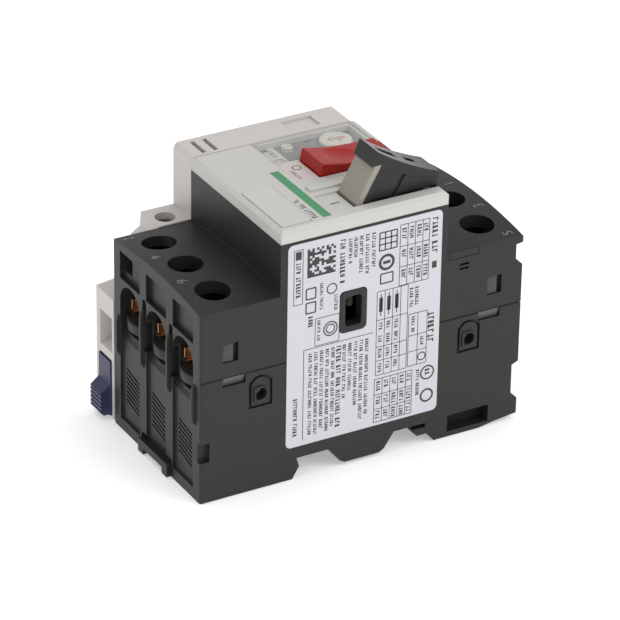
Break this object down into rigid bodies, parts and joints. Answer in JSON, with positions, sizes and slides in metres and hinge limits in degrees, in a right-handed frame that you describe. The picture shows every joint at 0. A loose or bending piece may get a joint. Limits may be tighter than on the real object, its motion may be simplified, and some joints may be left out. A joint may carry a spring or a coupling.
{
  "type": "motor protection circuit breaker",
  "caption": "Three-pole motor protection breaker for a 35 mm rail, with start and stop rockers, setting dial, clear flap and a side auxiliary contact block.",
  "frame": {"origin": "centre of the three-pole body's back, at mid-length and mid-width, on the plane of its feet", "axes": "+Z to the front, where the rockers are; +X from the load end to the line end; +Y to the side with the auxiliary block, -Y to the side with the rating label"},
  "size_m": [0.0918, 0.0544, 0.081],
  "materials": {
    "dark_housing": "fine matte, moulded thermoset",
    "white_cover": "fine satin",
    "aux_white": "fine satin",
    "label": "printed film",
    "clip_grey": "satin",
    "start_black": "satin",
    "slide_grey": "satin",
    "stop_red": "satin gloss",
    "latch_blue": "satin",
    "clear": "clear moulding",
    "dial_ivory": "satin",
    "inner_plastic": "satin",
    "spring_steel": "drawn wire",
    "steel": "zinc plated",
    "conductor": "bright copper alloy",
    "winding": "enamelled wire",
    "clamp_metal": "yellow zinc"
  },
  "bodies": {
    "breaker": {"base_housing": "dark_housing", "upper_housing": "dark_housing", "shoulder_strip": "clip_grey", "snap_clips": "clip_grey", "front_cover": "white_cover", "marker_tag": "white_cover", "rating_label": "label", "mechanism_plate": "inner_plastic", "rocker_pin": "steel", "line_conductors": "conductor", "load_fixed_contacts": "conductor", "load_straps": "conductor", "load_clamps": "clamp_metal", "line_clamps": "clamp_metal", "load_screws": "steel", "line_screws": "steel", "magnet_coils": "winding", "magnet_yokes": "steel", "bimetals": "steel", "heater_windings": "winding", "deion_plates_load": "steel", "deion_plates_line": "steel", "chute_cheeks": "inner_plastic", "start_spring": "spring_steel", "stop_spring": "spring_steel", "test_spring": "spring_steel", "latch_spring": "spring_steel", "aux_housing": "aux_white", "aux_cover": "aux_white", "aux_clamps": "clamp_metal", "aux_screws": "steel", "aux_fixed_contacts": "conductor", "aux_spring": "spring_steel"},
    "start_rocker_body": {"start_rocker": "start_black", "padlock_slide": "slide_grey"},
    "stop_rocker_body": {"stop_rocker": "stop_red"},
    "flap_body": {"clear_flap": "clear"},
    "dial_body": {"setting_dial": "dial_ivory"},
    "test_button_body": {"test_button": "dial_ivory"},
    "carrier_body": {"contact_carrier": "inner_plastic", "contact_bridges": "conductor", "bridge_springs": "spring_steel"},
    "trip_bar_body": {"trip_bar": "inner_plastic"},
    "plunger_1_body": {"plunger_1": "steel"},
    "plunger_2_body": {"plunger_2": "steel"},
    "plunger_3_body": {"plunger_3": "steel"},
    "rail_latch_body": {"rail_latch": "dark_housing"},
    "aux_latch_body": {"aux_latch": "latch_blue"},
    "aux_carrier_body": {"aux_carrier": "inner_plastic", "aux_bridge": "conductor"}
  },
  "joints": [
    {"name": "start_press", "type": "hinge", "parent": "breaker", "child": "start_rocker_body", "pos_m": [0.019, 0, 0.066], "axis": [0, -1, 0], "range_deg": [0, 20], "stiffness_Nm_per_rad": 0.02, "springref_deg": -5.73, "deforming": ["start_spring"]},
    {"name": "stop_press", "type": "hinge", "parent": "breaker", "child": "stop_rocker_body", "pos_m": [0.019, 0, 0.066], "axis": [0, -1, 0], "range_deg": [0, 7], "stiffness_Nm_per_rad": 0.03, "springref_deg": -2.86, "deforming": ["stop_spring"]},
    {"name": "flap_open", "type": "hinge", "parent": "breaker", "child": "flap_body", "pos_m": [-0.00645, 0.0155, 0.068], "axis": [0, -1, 0], "range_deg": [0, 110]},
    {"name": "dial_turn", "type": "hinge", "parent": "breaker", "child": "dial_body", "pos_m": [0.0141, 0.0169, 0.0665], "axis": [0, 0, 1], "range_deg": [-135, 135]},
    {"name": "test_press", "type": "slide", "parent": "breaker", "child": "test_button_body", "axis": [0, 0, -1], "range_m": [0, 0.0015], "stiffness_N_per_m": 2, "springref_m": -0.001, "deforming": ["test_spring"]},
    {"name": "contacts_close", "type": "slide", "parent": "breaker", "child": "carrier_body", "axis": [0, 0, -1], "range_m": [0, 0.0024], "stiffness_N_per_m": 45, "springref_m": -0.002},
    {"name": "trip_swing", "type": "hinge", "parent": "breaker", "child": "trip_bar_body", "pos_m": [0.0037, 0, 0.0524], "axis": [0, -1, 0], "range_deg": [0, 6], "stiffness_Nm_per_rad": 0.002, "springref_deg": -2.86},
    {"name": "plunger_pull_1", "type": "slide", "parent": "breaker", "child": "plunger_1_body", "axis": [1, 0, 0], "range_m": [0, 0.0025], "stiffness_N_per_m": 10, "springref_m": -0.002},
    {"name": "plunger_pull_2", "type": "slide", "parent": "breaker", "child": "plunger_2_body", "axis": [1, 0, 0], "range_m": [0, 0.0025], "stiffness_N_per_m": 10, "springref_m": -0.002},
    {"name": "plunger_pull_3", "type": "slide", "parent": "breaker", "child": "plunger_3_body", "axis": [1, 0, 0], "range_m": [0, 0.0025], "stiffness_N_per_m": 10, "springref_m": -0.002},
    {"name": "rail_release", "type": "slide", "parent": "breaker", "child": "rail_latch_body", "axis": [-1, 0, 0], "range_m": [0, 0.003], "stiffness_N_per_m": 40, "springref_m": -0.0025, "deforming": ["latch_spring"]},
    {"name": "aux_release", "type": "slide", "parent": "breaker", "child": "aux_latch_body", "axis": [-1, 0, 0], "range_m": [0, 0.0025], "stiffness_N_per_m": 15, "springref_m": -0.002},
    {"name": "aux_close", "type": "slide", "parent": "breaker", "child": "aux_carrier_body", "axis": [0, 0, -1], "range_m": [0, 0.0024], "stiffness_N_per_m": 5, "springref_m": -0.002, "deforming": ["aux_spring"]}
  ],
  "couplings": [
    {"joint": "start_press", "follows": "contacts_close", "rad_per_m": 145.44},
    {"joint": "aux_close", "follows": "contacts_close", "ratio": 1}
  ]
}
